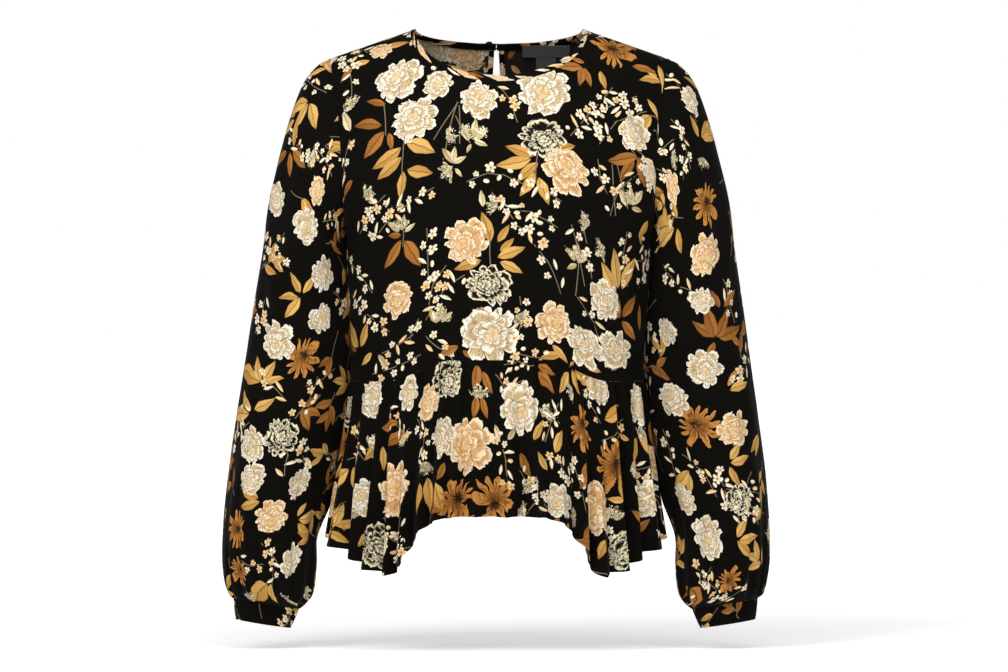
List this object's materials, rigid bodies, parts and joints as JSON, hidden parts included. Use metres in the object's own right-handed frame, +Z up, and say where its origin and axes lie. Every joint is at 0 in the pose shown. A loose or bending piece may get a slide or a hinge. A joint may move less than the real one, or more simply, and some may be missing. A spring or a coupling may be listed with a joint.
{
  "type": "blouse",
  "caption": "Long sleeved round neck blouse with bishop sleeves, narrow cuffs and a flared wavy peplum, filled out and hollow as when worn.",
  "frame": {"origin": "midway between the two neck points of the shoulder seams, in the plane of the side seams", "axes": "+Z up, -Y the way the front faces, +X towards the wearer's left"},
  "size_m": [0.6257, 0.2773, 0.6829],
  "materials": {
    "printed_cloth": "black woven viscose crepe printed with ivory, ochre and brown flowers, matte with a soft sheen",
    "black_cloth": "plain black woven viscose, matte",
    "label": "dark grey woven label cloth, blank",
    "button": "black polished resin"
  },
  "bodies": {
    "root": {"front_bodice": "printed_cloth", "back_bodice": "printed_cloth", "sleeve_left": "printed_cloth", "sleeve_right": "printed_cloth", "cuff_left": "printed_cloth", "cuff_right": "printed_cloth", "peplum_front": "printed_cloth", "peplum_back": "printed_cloth", "neck_binding": "printed_cloth", "neck_loop": "black_cloth", "neck_button": "button", "neck_label": "label", "size_tab": "label"}
  },
  "joints": []
}
